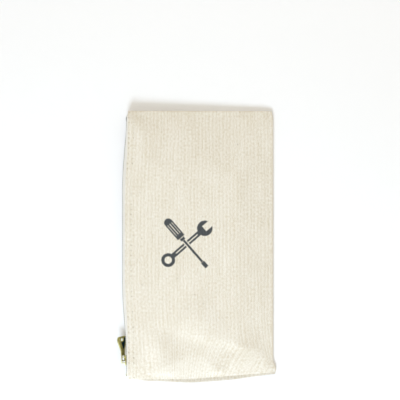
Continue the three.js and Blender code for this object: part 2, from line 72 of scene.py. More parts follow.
lens = bpy.data.cameras.new("overhead_view")
lens.lens, lens.sensor_width = LENS, SENSOR
camera = placed("overhead_view", lens)
camera.location = (0, 45 * PIXEL, 400 * PIXEL * LENS / SENSOR + 12 * MM)
scene.camera = camera
print("camera height:", round(camera.location.z, 3), "m")

# %% [markdown]
# ## The bag's sizes
# All lengths from here on are in millimetres. The bag measures 12.5 by 7 inches. X runs from the zip's lips
# to the bottom fold, Y along the zip, and Z up from the table.

# %% Sizes in millimetres
HALF = 159.0  # half the bag's length
LIP, FOLD = -85.0, 85.0  # the lips' edge and the fold's centre line
FOLD_OUT = 2.5  # the fold's outside radius
CLOTH = 0.7  # thickness of the duck
CHAIN = -86.4  # plane of the zip's tapes
MID = 8.95  # height of the zip's centre line
LIP_HALF = 8.35  # from there to the outside of each lip
SEAM_R = 1.2  # radius that the cloth turns through at an end seam
ALLOWANCE = 9.0
HEM_R = 0.45
STITCH_ROWS = (1.3, 7.0)  # from the lip's edge
CLOSED_TO, NOSE, CHAIN_LOW, CHAIN_TOP = -131.0, -142.5, -151.8, 147.0


def smooth(a, b, x):
    """Rises from 0 at a to 1 at b, level at both ends: 3t^2 - 2t^3."""
    t = np.clip((x - a) / (b - a), 0, 1)
    return t * t * (3 - 2 * t)


def bell(d, reach):
    """A soft bump of height 1: exp(-(d / reach)^2)."""
    return np.exp(-((d / reach) ** 2))


def lowest(a, b, k):
    """The lower of two surfaces, with a fillet about k wide where they cross."""
    h = np.maximum(k - np.abs(a - b), 0) / k
    return np.minimum(a, b) - h * h * k / 4


def circle(n):
    """n angles evenly round a circle."""
    return np.linspace(0, 2 * np.pi, n, endpoint=False)


def unit(v):
    """Each row as a direction: v / |v|."""
    return v / np.linalg.norm(v, axis=-1, keepdims=True)


def unevenness(x, y, shortest, longest, seed, waves=14):
    """A gentle random relief, mostly within -1 to 1: the sum of seeded sine waves of those lengths."""
    pick = np.random.default_rng(seed)
    turn = pick.uniform(0, np.pi, waves)
    pace = 2 * np.pi / pick.uniform(shortest, longest, waves)
    start = pick.uniform(0, 2 * np.pi, waves)
    across = np.multiply.outer(x, pace * np.cos(turn)) + np.multiply.outer(y, pace * np.sin(turn))
    return np.sin(across + start).sum(-1) / np.sqrt(waves)


print("bag:", 2 * HALF, "by", FOLD + FOLD_OUT - LIP, "mm")

# %% [markdown]
# ## The shape of the empty bag
# An empty bag isn't flat: the zip holds its lips apart, the fold and the two end seams pin it down, and the
# slack between them makes a low dome. Each of these is a simple height over the table, and the cloth
# follows the lowest of them, with a soft fillet where two cross. The long diagonal ridge at the lower right
# is such a crossing: there the dome meets the slack slope that rises from the lower seam. On top come
# fourteen soft folds, whose places and heights were matched to the light and shade of the photograph, faint
# waves all over, and puckers along the stitching. A cloth simulation could make folds too, but not these.


# %% Where the seams and the fold lie
def seam_height(x):
    """The end seams run straight from the zip's centre down to the fold."""
    return MID + (FOLD_OUT - MID) * (x - LIP) / (FOLD - LIP)


def near_lip(x):
    """1 at the lip, where the zip holds the cloth up, and near 0 from 30 mm in."""
    return bell(x - LIP, 16)


def fold_radius(y):
    """The fold's radius to the middle of the cloth, pinched where it runs into the end seams."""
    return (FOLD_OUT - CLOTH / 2) * (1 - 0.7 * bell(HALF - np.abs(y), 5))


def end_roll(s):
    """The quarter circle by which the cloth comes out of an end seam, s mm in from it."""
    return SEAM_R * np.sqrt(1 - (1 - np.clip(s / SEAM_R, 0, 1)) ** 2)


FOLD_SLOPE = np.arctan(0.34)
print("seam height at the lip and the fold:", seam_height(np.array([LIP, FOLD])).tolist(), "mm")


# %% Puckers and folds
def puckers(x, y):
    """What sewing does to slack cloth: dimples along each row of stitches and short ripples off the seams."""
    rows = sum(bell(x - LIP - r, 1.1) for r in STITCH_ROWS)
    lip = bell(x - LIP - 6, 13) * unevenness(0.35 * x, y, 7, 16, 3)
    end = HALF - np.abs(y)
    seams = bell(end - 7, 10) * unevenness(x, 0.3 * y, 9, 22, 4)
    return -0.28 * rows + 0.22 * lip + 0.4 * seams


FOLDS = [  # the middle's X and Y, reach along and across, turn in degrees, height
    (-30, -85, 34, 8, 66, -3.1),
    (-37, -132, 19, 36, 65, 2.9),
    (34, -121, 42, 9, 96, -1.4),
    (10, -116, 56, 14, -14, -3.4),
    (-37, -142, 26, 9, 29, 3.0),
    (5, -109, 17, 7, -27, 1.5),
    (45, -119, 21, 7, -24, 1.9),
    (51, -102, 56, 17, -38, -1.4),
    (78, -146, 56, 11, -62, 1.6),
    (-44, -137, 13, 36, 11, 3.5),
    (-3, -90, 16, 24, 27, 1.4),
    (27, -147, 47, 10, 35, 2.5),
    (-4, -89, 14, 28, -8, 1.5),
    (18, -149, 17, 7, -52, 2.4),
]


def slack_folds(x, y):
    """The relief of the slack lower end: a sum of soft folds, each height * exp(-(along / length)^2 -
    (across / width)^2) in its own direction. Faint waves cover the whole front."""
    relief = 0 * x
    for x0, y0, length, width, turn, height in FOLDS:
        c, s = np.cos(np.radians(turn)), np.sin(np.radians(turn))
        along, across = (x - x0) * c + (y - y0) * s, (y - y0) * c - (x - x0) * s
        relief = relief + height * bell(along, length) * bell(across, width)
    waves = unevenness(x, y, 55, 130, 8)
    fine = unevenness(x, 0.6 * y, 24, 50, 9)
    away = smooth(0, 45, HALF - np.abs(y)) * smooth(0, 40, FOLD - x)
    return relief + (0.55 * waves + 0.18 * fine) * away


print("highest fold:", max(row[-1] for row in FOLDS), "mm, deepest:", min(row[-1] for row in FOLDS), "mm")

# %% The height of the front
CROWN, CROWN_SPAN = 3.2, 150  # how far the front domes above its lip, and over what depth
PUFF, PUFF_AT, PUFF_REACH = 3.5, -92, 58  # more slack gathers there, near the zip's closed end
LIP_SLOPE, TOP_SLOPE = 0.62, 0.16  # slopes out of the end seams: beside the lip, and at the upper end
FACET_SLOPE, FACET_AT = 0.31, 28  # the slack slope at the lower end, steepest at that X


def front_height(x, y):
    """Middle of the front cloth over the table: the lowest of the dome, the slopes out of both end seams
    and the slope down to the fold, with the folds and puckers added where nothing holds the cloth."""
    low, top = y + HALF, HALF - y
    puff = PUFF * bell(y - PUFF_AT, PUFF_REACH)
    dome = MID + LIP_HALF + (CROWN + puff) * np.sin(np.pi * np.clip((x - LIP) / CROWN_SPAN, 0, 1))
    dome = dome - CLOTH / 2 + 0.5 * bell(x - LIP, 11)
    facet = FACET_SLOPE - np.where(x < FACET_AT, 0.06, 0.22) * ((x - FACET_AT) / 50) ** 2
    low_slope = facet + (LIP_SLOPE - facet) * near_lip(x)
    top_slope = TOP_SLOPE + (LIP_SLOPE - TOP_SLOPE) * near_lip(x)
    ends = np.minimum(end_roll(low) + low_slope * np.abs(low), end_roll(top) + top_slope * np.abs(top))
    ends = seam_height(x) + 0.45 + SEAM_R + ends
    fold = FOLD_OUT + fold_radius(y) / np.cos(FOLD_SLOPE) + np.tan(FOLD_SLOPE) * (FOLD - x)
    k = np.clip((FOLD - x) / 15, 0.02, 1)
    height = lowest(lowest(dome, ends, 2 + 2 * bell(x + 60, 60)), fold, 2.5 * k)
    held = smooth(1, 9, np.minimum(low, top)) * smooth(0, 10, FOLD - x)
    return height + held * (slack_folds(x, y) * smooth(8, 40, x - LIP) + puckers(x, y))


spot = front_height(np.array([-85.0, 0.0, 60.0]), np.array([0.0, -60.0, 100.0]))
print("front heights at three places:", np.round(spot, 1).tolist(), "mm")


# %% The height of the back
BACK_SLOPE = 0.3


def back_height(x, y):
    """Middle of the back cloth: on the table, but curled up to both end seams and to the stitched lip."""
    end = HALF - np.abs(y)
    slope = BACK_SLOPE + (LIP_SLOPE - BACK_SLOPE) * near_lip(x)
    roll = np.minimum(SEAM_R, (seam_height(x) - 0.8) / 2)
    curl = seam_height(x) - 0.45 - roll * (1 + end_roll(end) / SEAM_R) - slope * end
    fold = FOLD_OUT - fold_radius(y)
    fold = CLOTH / 2 + (fold - CLOTH / 2) * smooth(FOLD - 25, FOLD, x)
    table = np.maximum(CLOTH / 2 + 0.1, fold)
    flat = -lowest(-curl, -table, 1.2)
    return flat + 0.12 * smooth(4, 20, end) * (1 + unevenness(x, y, 30, 70, 6)) * smooth(0, 30, FOLD - x)


spot = back_height(np.array([-85.0, 0.0, 85.0]), np.array([0.0, 0.0, 0.0]))
print("back heights at three places:", np.round(spot, 1).tolist(), "mm")

# %% [markdown]
# ## From the straight plan to the real outline
# Seen from above, the real outline isn't a rectangle. The zip edge bows out a little at mid-length, and the
# lower seam runs up towards the fold. Each piece could be drawn to that outline by itself, but one small
# warp that moves every soft piece alike keeps thread, tape and cloth together.


# %% The warp
def warp(points):
    """Bows the lips out by up to 3.4 mm and the teeth by 4.3, lifts the lower seam's fold end by 7.5 mm, and
    draws the lower corner of the fold out by 4.6 mm."""
    x, y, z = np.moveaxis(points, -1, 0)
    off_middle = np.abs(y - 10)
    bow, chain_bow = 3.4 * smooth(130, 40, off_middle), 4.3 * smooth(140, 60, off_middle)
    bow = bow + (chain_bow - bow) * np.clip((LIP - x) / (LIP - CHAIN), 0, 1)
    across = np.clip((x - LIP) / 170, 0, 1)
    lift = 7.5 * np.clip((x + 20) / 105, 0, 1.05) ** 1.3 * np.clip(1 - (y + HALF) / 75, 0, 1) ** 2
    drawn = 4.6 * smooth(45, 90, x) * smooth(-141, -159, y)
    return np.stack([x - bow * (1 - across) ** 2 + drawn, y + lift, z], -1)


print("mid-length of the lips, warped:", np.round(warp(np.array([LIP, 0.0, MID])), 1).tolist(), "mm")


# %% A mesh from a grid
def surface(name, points, uv=None, flip=False, loops=(False, False)):
    """A mesh from a grid of points: one quad between each point and its neighbours along both ways of the
    grid. loops says which of the two ways closes on itself."""
    rows, columns = points.shape[:2]
    i = np.arange(rows if loops[0] else rows - 1)[:, None]
    j = np.arange(columns if loops[1] else columns - 1)[None, :]
    i, j = np.broadcast_arrays(i, j)
    di, dj = (i + 1) % rows, (j + 1) % columns
    quads = np.stack([i * columns + j, di * columns + j, di * columns + dj, i * columns + dj], -1)
    quads = quads.reshape(-1, 4)
    if flip:
        quads = quads[:, ::-1]
    return mesh_object(name, points.reshape(-1, 3), quads, uv)


def mesh_object(name, points, faces, uv=None):
    """An object from points in millimetres and faces of one size, with its UV map in metres of cloth."""
    mesh = bpy.data.meshes.new(name)
    mesh.from_pydata((points * MM).tolist(), [], faces.tolist())
    if uv is not None:
        layer = mesh.uv_layers.new(name="Cloth")
        layer.data.foreach_set("uv", (uv.reshape(-1, 2)[faces.ravel()] * MM).ravel().astype(np.float32))
    mesh.shade_smooth()
    return placed(name, mesh)


# %% [markdown]
# ## The canvas
# Each panel is one continuous cloth. Round the mouth it turns back under itself as a hem, and at each end
# it rolls inwards and becomes the seam allowance, as sewing does. So the grid has three zones along X (hem,
# lip, panel) and three along Y (allowance, roll, panel). The front is made in two halves that meet at
# mid-length.


# %% Stations across and along a panel
def lip_stations():
    """(x, drop) from the hem's raw edge, round the lip and over the panel; drop is how far below the panel
    the cloth lies, as a half circle of radius HEM_R joins the two layers."""
    hem = np.array([9.3, 6.5, 3.5, 1.6])
    turn = np.radians(np.linspace(-90, -270, 8))
    near = np.linspace(1.2, 14, 17)
    far = np.linspace(15.5, FOLD - LIP, 92)
    x = np.concatenate([hem, HEM_R * (1 + np.cos(turn)), near, far])
    drop = np.concatenate([np.full(4, 2 * HEM_R), HEM_R * (1 - np.sin(turn)), 0 * near, 0 * far])
    return LIP + x, drop


def end_stations():
    """(y, rise) from mid-length out to one end and back in. rise is the cloth's height over the seam line on
    the lower half of the roll and on the allowance, and not a number on the panel."""
    last = HALF - np.array([9.5, 8, 6.5, 5, 3.7, 2.6, 1.7])
    panel = np.concatenate([[0, 0.4], np.linspace(1.8, 148, 88), last])
    crown = HALF - SEAM_R * np.array([1, 0.7, 0.45, 0.25, 0.1, 0.02])
    turn = np.radians([0, -20, -45, -70, -90])
    under = HALF - SEAM_R * (1 - np.cos(turn))
    inside = HALF - SEAM_R - np.array([1.2, 3.5, 6, ALLOWANCE])
    y = np.concatenate([panel, crown, under, inside])
    on_panel = np.full(len(panel) + len(crown), np.nan)
    return y, np.concatenate([on_panel, 0.45 + SEAM_R * (1 + np.sin(turn)), np.full(4, 0.45)])


print("stations:", len(lip_stations()[0]), "across and", len(end_stations()[0]), "along half of a panel")


# %% How the cloth lies at the seams, and its map
def cut_back(x, y):
    """The seam allowance's stations, cut back to a quarter of their depth near the lip, where the slider
    has to pass: seam line - (seam line - |y|) * keep, with keep rising from 0.25 to 1."""
    seam = HALF - SEAM_R
    keep = 0.25 + 0.75 * smooth(LIP + 4, LIP + 14, x)
    return np.sign(y) * (seam - (seam - np.abs(y)) * keep)


def ridge_line(x):
    """Where the diagonal ridge runs: its Y for each X, straight between seven places."""
    return np.interp(x, [-60, -19, 17, 37, 58, 74, 90], [-90, -100, -110, -118, -126, -135, -149])


def weave_map(x, y, across):
    """Where each point lies on the flat cloth. Above the diagonal ridge the threads swing towards the corner,
    and below it they run back aslant, so the map is sheared by how far a point lies from the ridge."""
    ridge = ridge_line(x)
    above = np.clip(45 + ridge - y, 0, 45) ** 2 / 90
    below = 60 * (1 - np.exp(-np.clip(ridge - y, 0, 60) / 60))
    lean = 0.48 * smooth(-60, 25, x) - 0.2 * bell(x + 45, 24) * smooth(-76, -55, x)
    return np.stack([across - 0.35 * smooth(25, 80, x) * above + lean * below, y], -1)


print("the ridge's ends:", ridge_line(np.array([-60, 90])).tolist(), "mm")


# %% The front cloth, in two halves
def front_half(name, end):
    """One half of the front cloth; end is 1 for the upper half and -1 for the lower one."""
    x, drop = lip_stations()
    y, rise = end_stations()
    X, Y = np.meshgrid(x, end * y, indexing="ij")
    Y[:, -4:] = cut_back(X[:, -4:], Y[:, -4:])
    panel = np.isnan(rise)
    Z = front_height(X, Y)
    Z[:, ~panel] = seam_height(X[:, ~panel]) + rise[~panel]
    hem = 0.12 + 0.88 * smooth(4, 16, HALF - y) * panel
    Z = Z - drop[:, None] * hem
    last = fold_radius(Y[-1])
    X[-1] = FOLD + last * np.sin(FOLD_SLOPE)
    Z[-1] = FOLD_OUT + last * np.cos(FOLD_SLOPE)
    across = np.append(0, np.cumsum(np.hypot(np.diff(x), np.diff(drop))))
    uv = weave_map(X, Y, np.broadcast_to(across[:, None], X.shape))
    return surface(name, warp(np.stack([X, Y, Z], -1)), uv, flip=end < 0)


front_upper = front_half("front_canvas_upper", 1)
front_lower = front_half("front_canvas_lower", -1)
print("front halves:", [len(o.data.polygons) for o in (front_upper, front_lower)], "quads")


# %% The back cloth with the fold
def back_cloth(name):
    """The back cloth and the bottom fold: the back's grid, then an arc from straight down round to the
    front's edge."""
    x, drop = lip_stations()
    half, rise = end_stations()
    y = np.concatenate([-half[::-1], half[1:]])
    rise = np.concatenate([rise[::-1], rise[1:]])
    panel = np.isnan(rise)
    X, Y = np.meshgrid(x[:-1], y, indexing="ij")
    Y[:, :4], Y[:, -4:] = cut_back(X[:, :4], Y[:, :4]), cut_back(X[:, -4:], Y[:, -4:])
    Z = back_height(X, Y)
    # the back's lower seam shows past the front's by 3 mm, and by up to 5.6 mm in mid-depth
    shown = (3.0 + 2.6 * smooth(-60, 0, X) * smooth(88, 30, X)) * smooth(140, 157, -Y) * smooth(-83, -60, X)
    rolled = np.minimum(SEAM_R, (seam_height(X) - 0.8) / 2) / SEAM_R
    under = np.where(panel, 0, rise)
    Z = np.where(panel, Z, seam_height(X) - 0.45 - (under - 0.45) * rolled)
    hem = 0.12 + 0.88 * smooth(4, 16, HALF - np.abs(y)) * panel
    Z = Z + drop[:-1, None] * hem
    turn = np.linspace(-np.pi / 2, np.pi / 2 - FOLD_SLOPE, 11)[:, None]
    radius = fold_radius(np.where(panel, y, HALF))[None, :]
    X = np.concatenate([X, FOLD + radius * np.cos(turn)])
    Z = np.concatenate([Z, FOLD_OUT + radius * np.sin(turn)])
    Y = np.concatenate([Y - shown, y - shown[-1] * np.linspace(1, 0, 11)[:, None] ** 2])
    across = np.append(0, np.cumsum(np.hypot(np.diff(X[:, len(half)]), np.diff(Z[:, len(half)]))))
    uv = np.stack([np.broadcast_to(-across[:, None], X.shape), Y], -1)
    return surface(name, warp(np.stack([X, Y, Z], -1)), uv, flip=True)


back_canvas = back_cloth("back_canvas")
print("back:", len(back_canvas.data.polygons), "quads")


# %% The thickness of the cloth
def crisp_rims(piece):
    """Marks the open edges sharp, so that the wall's rim doesn't darken the cloth beside it."""
    mesh = piece.data
    edges = np.empty(len(mesh.loops), np.int32)
    mesh.loops.foreach_get("edge_index", edges)
    used = np.bincount(edges, minlength=len(mesh.edges))
    mesh.edges.foreach_set("use_edge_sharp", used == 1)


for piece in (front_upper, front_lower, back_canvas):
    wall = piece.modifiers.new("cloth thickness", "SOLIDIFY")
    wall.thickness, wall.offset = CLOTH * MM, 0
    crisp_rims(piece)
    print(piece.name, "has a wall of", CLOTH, "mm")

# %% [markdown]
# ## The zip's tapes
# A zip tape is a woven ribbon. Its inner edge carries the teeth, its outer part is sewn under the canvas
# lip. Each tape is a profile of points (x, distance from the zip's centre line) carried along Y. Past the
# slider the two rows part, and the tapes' inner edges follow them.


# %% The line of the tapes
def parting(y):
    """How far a row of teeth stands off its meshed place: parted by the slider's nose, then by the mouth."""
    nose = smooth(-CLOSED_TO + 3, -NOSE - 1, -y)
    mouth = smooth(-NOSE + 1, -CHAIN_LOW, -y)
    return 1.6 * nose - 0.25 * mouth


def tucked_in(y):
    """Both tails of a tape turn in behind the lips, by up to 2.8 mm over their last 4 mm."""
    return 2.8 * smooth(153.2, 157, np.abs(y))


def tape_grid(side, y):
    """Points of one tape; side is 1 for the front and -1 for the back. Between the places where the slider
    rests at its limits, the tape leans in towards the lip by 1.1 mm."""
    # from the chain out to the flap: the clamped edge, the knee where the tape turns in, the flap's height
    surface_height = front_height if side > 0 else back_height
    lip = side * (surface_height(np.full_like(y, LIP + 3.6), y) - MID)
    flap = np.minimum(6.85, lip - 1.45 * smooth(3, 14, HALF - np.abs(y)) - 0.8)
    knee = np.minimum(5.2, flap - 0.9)
    edge = np.minimum(1.7 + parting(y), knee - 0.4)
    steps = np.linspace(0, 1, 4)[:, None]
    out = [edge + (knee - edge) * steps, knee + (flap - knee) * np.array([[0.45], [0.8], [1], [1], [1], [1]])]
    out = np.concatenate(out)
    lean = 1.1 * smooth(128, 95, np.abs(y)) * np.array([0, 1 / 3, 2 / 3, 1, 1, 0.8, 0.3, 0, 0, 0])[:, None]
    x = np.array([0, 0, 0, 0, 0.15, 0.7, 2.0, 5, 8, 10.9])[:, None] + lean + CHAIN + tucked_in(y)
    X, Y = np.broadcast_arrays(x, y[None, :])
    return warp(np.stack([X, Y, MID + side * out], -1)), np.stack([out, Y], -1)


print("rows part by", round(float(parting(np.array(NOSE))), 2), "mm at the slider's nose")

# %% Tapes with their cords
TAPE_END = HALF - 1.8
CORD = 0.78, 1.15


def tape(name, side, low, high):
    """The tape with its corded edge, which the teeth are clamped on: an oval cord, CORD[0] high from its
    middle and CORD[1] thick, but no thicker than CORD[0] where the slider rests at its limits."""
    y = np.linspace(low, high, int((high - low) / 2) + 1)
    points, uv = tape_grid(side, y)
    made = surface(name, points, uv, flip=side > 0)
    a = circle(8)[:, None]
    thick = CORD[0] + (CORD[1] - CORD[0]) * smooth(130, 118, np.abs(y))
    x = CHAIN + tucked_in(y) + thick * np.cos(a)
    z = MID + side * (1.6 + parting(y) + CORD[0] * np.sin(a))
    around = warp(np.stack([x, y + 0 * a, z], -1))
    cord = surface(name + "_cord", around, flip=side < 0, loops=(True, False))
    cord.data.uv_layers.new(name="Cloth")
    join(made, cord)
    crisp_rims(made)
    wall = made.modifiers.new("tape thickness", "SOLIDIFY")
    wall.thickness, wall.offset = 0.55 * MM, 0
    return made


def join(piece, other):
    """Moves the other piece's mesh into this one."""
    work = bmesh.new()
    work.from_mesh(piece.data)
    work.from_mesh(other.data)
    work.to_mesh(piece.data)
    work.free()
    piece.data.shade_smooth()
    bpy.data.objects.remove(other)


front_tape_upper = tape("front_tape_upper", 1, 0, TAPE_END)
front_tape_lower = tape("front_tape_lower", 1, -TAPE_END, 0)
back_tape = tape("back_tape_cloth", -1, -TAPE_END, TAPE_END)
print("tapes:", 2 * TAPE_END, "mm long")

# %% [markdown]
# ## The teeth
# Each brass tooth is a small clamp: two legs grip the tape's edge, and a narrow head reaches between its
# neighbours on the other row. One tooth is a ten-sided outline given a width along the zip, and all of them
# are placed at once by adding an array of places to an array of corners. The front row is drawn 0.4 mm
# thicker on each face than a real one, except where the slider rests at its limits, so that its teeth still
# show at 1.19 mm a pixel.


# %% Teeth
PITCH = 2.5


def teeth(name, side, places):
    """All teeth of one row at those places along Y, as points (places, 4 rings, 10 corners, xyz); the outer
    two rings are a little smaller, which rounds the tooth's ends."""
    half = np.array([[0.62, -0.7], [0.78, 0.1], [1.1, 0.75], [1.1, 2.2], [0.8, 2.5]])
    outline = np.concatenate([[[-0.62, -0.7]], half, half[:0:-1] * [-1, 1]])
    sides = len(outline)
    ends = np.array([-0.5, -0.4, 0.4, 0.5])
    shrink = np.array([0.8, 1, 1, 0.8])
    middle = np.array([0, 0.9])
    local = middle + (outline - middle) * shrink[:, None, None]
    thick = 1 + 0.36 * (side > 0) * smooth(130, 118, np.abs(places))[:, None, None]
    y = places[:, None, None] + ends[None, :, None] * 1.15
    x = CHAIN + thick * local[None, ..., 0]
    z = MID + side * (local[None, ..., 1] + parting(places)[:, None, None])
    points = np.stack(np.broadcast_arrays(x, y, z), -1)
    ring = np.arange(sides)
    layer = np.arange(3)[:, None] * sides
    walls = np.stack([layer + ring, layer + sides + ring, layer + sides + (ring + 1) % sides], -1)
    more = np.stack([layer + ring, layer + sides + (ring + 1) % sides, layer + (ring + 1) % sides], -1)
    fan = np.stack([0 * ring[1:-1], ring[1:-1], ring[2:]], -1)
    caps = np.concatenate([fan, (fan + 3 * sides)[:, ::-1]])
    faces = np.concatenate([walls.reshape(-1, 3), more.reshape(-1, 3), caps])
    if side < 0:
        faces = faces[:, ::-1]
    every = (np.arange(len(places)) * 4 * sides)[:, None, None] + faces
    made = mesh_object(name, warp(points).reshape(-1, 3), every.reshape(-1, 3))
    made.data.shade_flat()
    return made


front_places = np.arange(CHAIN_TOP, CHAIN_LOW + 1.05, -PITCH) - 0.525
back_places = np.arange(CHAIN_TOP - PITCH / 2, CHAIN_LOW + 1.05, -PITCH) - 0.525
front_teeth_upper = teeth("front_teeth_upper", 1, front_places[front_places > 0])
front_teeth_lower = teeth("front_teeth_lower", 1, front_places[front_places < 0])
back_teeth = teeth("back_teeth_brass", -1, back_places)
print("teeth:", len(front_places), "and", len(back_places))

# %% [markdown]
# ## Slider and stops
# These small brass castings have the right shape in the CAD model already, but its edges are razor sharp.
# A casting's edges are round, and the light on a round edge is what makes metal look like metal. So each
# solid is copied, its loose triangles are welded and merged into flat faces, and a Bevel modifier rounds it.

# %% Rounded copies of the castings
def rounded(name, node, width):
    """A CAD solid's copy as one welded mesh, with its edges rounded to that width."""
    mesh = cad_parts[node].data.copy()
    mesh.name = name
    mesh.materials.clear()
    work = bmesh.new()
    work.from_mesh(mesh)
    bmesh.ops.remove_doubles(work, verts=work.verts, dist=2e-6)
    bmesh.ops.dissolve_limit(work, angle_limit=np.radians(2), verts=work.verts, edges=work.edges)
    work.to_mesh(mesh)
    work.free()
    mesh.shade_smooth()
    made = placed(name, mesh)
    edges = made.modifiers.new("rounded edges", "BEVEL")
    edges.width, edges.segments, edges.limit_method = width * MM, 3, "ANGLE"
    edges.angle_limit = np.radians(35)
    edges.harden_normals = True
    return made


slider = rounded("zip_slider_brass", "slider_body", 0.18)
bottom_stop = rounded("bottom_stop_brass", "bottom_stop", 0.3)
front_stop = rounded("front_top_stop_brass", "front_top_stop", 0.3)
back_stop = rounded("back_top_stop_brass", "back_top_stop", 0.3)
tab = rounded("pull_tab_brass", "pull_tab", 0.16)
print("castings:", [len(o.data.polygons) for o in (slider, bottom_stop, tab)], "faces")

# %% [markdown]
# ## The pull tab's rim
# A stamped tab gets its stiffness from a raised rim round the blade and round the hole. Each rim is a round
# section carried along a closed path. The paths are drawn in the tab's own plane, then leant and twisted
# like the tab itself.

# %% Rims
TAB_TILT, TAB_TWIST = np.radians(4.5), np.radians(-42)
PIVOT = np.array([-90.9, -137.6, MID])
HOLE_AT = 25.1  # from the pivot to the hole's centre


def tab_place(width, length, lift=0):
    """From the tab's own plane to the bag: width along Z, length along Y and lift along X, twisted about the
    tab's length and then leant away from the chain about the pivot."""
    c, s = np.cos(TAB_TWIST), np.sin(TAB_TWIST)
    x, z = lift * c + width * s, -lift * s + width * c
    ct, st = np.cos(TAB_TILT), np.sin(TAB_TILT)
    return np.stack([x * ct - length * st, x * st + length * ct, z], -1) + PIVOT


def swept_loop(name, path, radius, squeeze):
    """A round section carried along a closed path: at each point a ring lies across the path's direction.
    squeeze is how much further it stands out of the tab than across it."""
    along = unit(np.roll(path, -1, 0) - np.roll(path, 1, 0))
    aside = tab_place(0, 0, 1) - tab_place(0, 0, 0)
    out = unit(np.cross(along, aside))
    a = circle(8)[None, :, None]
    ring = path[:, None] + radius * (np.cos(a) * out[:, None] + squeeze * np.sin(a) * aside)
    return surface(name, ring, loops=(True, True))


def blade_edge(inset):
    """The blade's outline from its waist to its far end, corners as quarter ellipses: (width, length)."""
    waist, end, corner, at, tip = 2.8 - inset, 7.25 - inset, 3.4, 11.5, 29 - inset
    a = np.radians(np.linspace(0, 90, 8))[1:]
    half = [[waist, at], [(waist + end) / 2, (at + tip - corner - 1) / 2], [end, tip - corner - 1]]
    half += [[end - corner * (1 - np.cos(t)), tip - (corner + 1) * (1 - np.sin(t))] for t in a]
    return np.concatenate([half, np.array(half)[::-1] * [-1, 1]])


edge = blade_edge(0.5)
rim = swept_loop("pull_tab_rim", tab_place(edge[:, 0], edge[:, 1]), 0.5, 1.7)
a = circle(28)
eyelet = swept_loop("pull_tab_eyelet", tab_place(2.3 * np.cos(a), HOLE_AT + 2.3 * np.sin(a)), 0.42, 1.8)
print("rims:", len(rim.data.polygons), "and", len(eyelet.data.polygons), "quads")

# %% [markdown]
# ## Stitching
# Two rows of lockstitch hold each lip. A stitch is a short piece of thread that comes up out of the cloth,
# lies over it and goes down again: a thin tube along a half sine wave. One tube is worked out for all
# stitches of a row at once.

# %% Rows of stitches
STITCH, THREAD = 6.03, 0.36  # pitch and the thread's radius


def stitch_row(name, side, from_lip, first, last):
    """Stitches number first to last, counted from mid-length: (stitches, rings, sides, xyz), each ring lying
    across the thread, which rises over the cloth as a half sine."""
    height = front_height if side > 0 else back_height
    start = STITCH * np.arange(first, last + 1)
    t = np.linspace(0, 1, 7)
    y = start[:, None] + 0.5 + t[None, :] * (STITCH - 1.2)
    x = np.full_like(y, LIP + from_lip) + 0.12 * unevenness(y, 0 * y, 3, 9, 12)
    arch = CLOTH / 2 - 0.4 + 0.75 * np.sin(np.pi * t) ** 0.5
    z = np.maximum(height(x, y) + side * arch, THREAD)
    a = circle(6)
    thick = (THREAD * (0.55 + 0.45 * np.sin(np.pi * t)))[:, None]
    x, y, z = x[..., None] + thick * np.cos(a), y[..., None] + 0 * a, z[..., None] + thick * np.sin(a)
    points = warp(np.stack([x, y, z], -1)).reshape(-1, 3)
    i, j = np.meshgrid(np.arange(6), np.arange(6), indexing="ij")
    one = np.stack([i * 6 + j, (i + 1) * 6 + j, (i + 1) * 6 + (j + 1) % 6, i * 6 + (j + 1) % 6], -1)
    faces = (np.arange(len(start)) * 42)[:, None, None] + one.reshape(-1, 4)[:, ::-1]
    return mesh_object(name, points, faces.reshape(-1, 4))


HALF_ROW = 25  # stitches from mid-length to each end
stitches = {"front": [], "back": []}
for row, from_lip in zip(("outer", "inner"), STITCH_ROWS):
    for half, first, last in (("upper", 0, HALF_ROW - 1), ("lower", -HALF_ROW, -1)):
        stitches["front"].append(stitch_row(f"front_{row}_stitches_{half}", 1, from_lip, first, last))
    stitches["back"].append(stitch_row(f"back_{row}_stitches", -1, from_lip, -HALF_ROW, HALF_ROW - 1))
print("rows of stitches:", len(stitches["front"]) + len(stitches["back"]))

# %% [markdown]
# ## Overlocked edges
# Inside the bag each seam allowance's raw edge is bound with overlock thread, which winds round the edge.
# It is one tube along a flattened helix.


# %% Overlock thread
def overlock(name, end):
    """A tube along a helix round the allowance's edge: 5 mm wide across Y, 2.4 mm high, one turn each
    2.5 mm of X."""
    turns, steps = 58, 14
    t = np.linspace(0, turns * 2 * np.pi, turns * steps)
    x = np.linspace(LIP + 14, FOLD - 8, len(t))
    y = end * (HALF - SEAM_R - ALLOWANCE + 1.5 - 1.9 * np.cos(t))
    z = seam_height(x) + 1.22 * np.sin(t)
    path = np.stack([x, y, z], -1)
    along = unit(np.gradient(path, axis=0))
    out = unit(np.cross(along, [1.0, 0, 0]))
    up = np.cross(along, out)
    a = circle(5)[None, :, None]
    ring = path[:, None] + 0.24 * (np.cos(a) * out[:, None] + np.sin(a) * up[:, None])
    return surface(name, warp(ring), loops=(False, True))


overlocks = [overlock("upper_overlock_thread", 1), overlock("lower_overlock_thread", -1)]
print("overlock:", len(overlocks[0].data.polygons), "quads a side")

# %% [markdown]
# ## Materials
# Colours are given as the sRGB hex values that a paint or fabric chart shows, and one function turns them
# into the linear values that shaders need. A pattern is a tree of small nodes, drawn by hand or written
# down. Written down, it reads like a formula, as a socket knows its own tree (its id_data), so that each
# helper below can add a node beside the one it is fed from.


# %% Colour and node helpers
def linear(code):
    """sRGB hex to linear RGBA: c / 12.92 below 0.04045, else ((c + 0.055) / 1.055) ^ 2.4."""
    c = np.array([int(code[i : i + 2], 16) for i in (1, 3, 5)]) / 255
    c = np.where(c < 0.04045, c / 12.92, ((c + 0.055) / 1.055) ** 2.4)
    return (*c.tolist(), 1.0)


